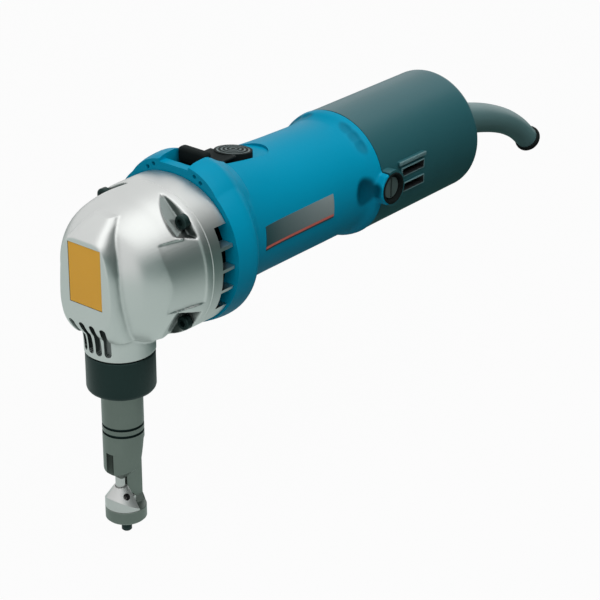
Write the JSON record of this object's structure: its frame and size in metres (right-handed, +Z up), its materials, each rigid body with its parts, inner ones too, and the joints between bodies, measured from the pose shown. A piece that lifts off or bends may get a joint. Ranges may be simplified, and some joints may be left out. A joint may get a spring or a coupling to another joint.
{
  "type": "sheet metal nibbler",
  "caption": "Corded sheet-metal nibbler: barrel grip with slide switch, right-angle cast gear head, and a die holder with punch and die that turns on the end of its neck.",
  "frame": {"origin": "middle of the underside of the bounding box", "axes": "+X from the gear head towards the cord guard, along the motor; +Z up along the neck, away from the die"},
  "size_m": [0.368, 0.0836, 0.1857],
  "materials": {
    "aluminium_casting": "satin as cast",
    "black_oxide": "black oxide, semi matt",
    "tool_steel": "ground",
    "bright_steel": "polished",
    "teal_plastic": "fine satin moulding",
    "grey_plastic": "fine satin moulding",
    "black_plastic": "matt moulding",
    "guard_rubber": "matt",
    "copper": "bare",
    "brass": "bare",
    "bronze": "sintered",
    "core_iron": "laminated",
    "carbon": "pressed carbon"
  },
  "bodies": {
    "housing": {"gear_housing": "aluminium_casting", "bearing_cover": "aluminium_casting", "head_screw_1": "black_oxide", "head_screw_2": "black_oxide", "head_screw_3": "black_oxide", "head_screw_4": "black_oxide", "crank_bearing_front": "bright_steel", "crank_bearing_rear": "bright_steel", "armature_bearing_front": "bright_steel", "armature_bearing_rear": "bright_steel", "field_stator": "core_iron", "field_coil_left": "copper", "field_coil_right": "copper", "baffle_ring": "black_plastic", "motor_housing": "teal_plastic", "brush_holder_left": "brass", "brush_holder_right": "brass", "carbon_brush_left": "carbon", "carbon_brush_right": "carbon", "brush_cap_left": "black_plastic", "brush_cap_right": "black_plastic", "switch_body": "black_plastic", "rear_cover": "grey_plastic", "rear_cover_screw": "black_oxide", "cord_guard": "guard_rubber"},
    "crank": {"crank_shaft": "tool_steel", "crank_roller": "bright_steel", "drive_gear": "tool_steel"},
    "armature": {"armature_shaft": "tool_steel", "armature_core": "core_iron", "armature_winding_front": "copper", "armature_winding_rear": "copper", "commutator": "copper", "cooling_fan": "black_plastic"},
    "yoke": {"yoke": "tool_steel"},
    "ram": {"ram": "tool_steel", "punch": "bright_steel"},
    "die_head": {"die_holder": "tool_steel", "die": "bright_steel", "die_bolt": "black_oxide", "ram_bush": "bronze"},
    "nut": {"lock_nut": "black_oxide"},
    "switch": {"switch_knob": "black_plastic", "switch_link": "black_plastic"}
  },
  "joints": [
    {"name": "yoke_stroke", "type": "slide", "parent": "housing", "child": "yoke", "axis": [0, 0, 1], "range_m": [0, 0.0065]},
    {"name": "crank_turn", "type": "hinge", "parent": "housing", "child": "crank", "pos_m": [-0.16185, 0, 0.124], "axis": [1, 0, 0], "range_deg": [-0.5, 180.5]},
    {"name": "armature_turn", "type": "hinge", "parent": "housing", "child": "armature", "pos_m": [-0.16185, 0, 0.1409], "axis": [1, 0, 0], "range_deg": [-992, 2]},
    {"name": "die_turn", "type": "hinge", "parent": "housing", "child": "die_head", "pos_m": [-0.16185, 0, 0.0578], "axis": [0, 0, 1], "continuous": true},
    {"name": "ram_turn", "type": "hinge", "parent": "yoke", "child": "ram", "pos_m": [-0.16185, 0, 0.0878], "axis": [0, 0, 1], "continuous": true},
    {"name": "nut_turn", "type": "hinge", "parent": "housing", "child": "nut", "pos_m": [-0.16185, 0, 0.0898], "axis": [0, 0, 1], "range_deg": [0, 180]},
    {"name": "switch_slide", "type": "slide", "parent": "housing", "child": "switch", "axis": [-1, 0, 0], "range_m": [0, 0.006]}
  ],
  "couplings": [
    {"joint": "crank_turn", "follows": "yoke_stroke", "rad_per_m": 483.32},
    {"joint": "armature_turn", "follows": "yoke_stroke", "rad_per_m": -2658.3},
    {"joint": "ram_turn", "follows": "die_turn", "ratio": 1}
  ]
}
